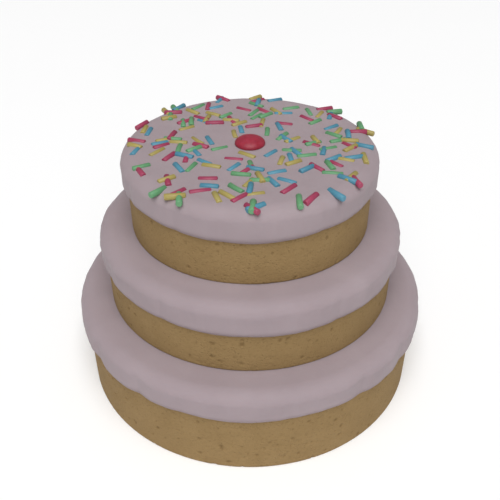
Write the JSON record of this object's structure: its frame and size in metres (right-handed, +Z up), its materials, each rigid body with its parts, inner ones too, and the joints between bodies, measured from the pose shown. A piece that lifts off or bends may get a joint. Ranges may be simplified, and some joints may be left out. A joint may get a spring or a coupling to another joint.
{
  "type": "layer cake",
  "caption": "Tiered round layer cake: bare sponge tiers under rounded white icing caps, with coloured sugar strands and half a glace cherry on top.",
  "frame": {"origin": "centre of the bottom sponge's flat underside, where the cake rests", "axes": "+Z up through the cherry, -Y towards the viewer in the picture, +X to the viewer's right"},
  "size_m": [0.2054, 0.2052, 0.1483],
  "materials": {
    "sponge": "dry golden cake crumb with small open pores",
    "icing": "smooth satin icing, off-white with a faint pink cast",
    "cherry": "glossy candied skin",
    "strand_red": "smooth sugar strand, raspberry red",
    "strand_green": "smooth sugar strand, mint green",
    "strand_blue": "smooth sugar strand, sky blue",
    "strand_yellow": "smooth sugar strand, pale yellow"
  },
  "bodies": {
    "root": {"sponge_bottom": "sponge", "icing_bottom": "icing", "sponge_middle": "sponge", "icing_middle": "icing", "sponge_top": "sponge", "icing_top": "icing", "cherry": "cherry"}
  },
  "joints": []
}
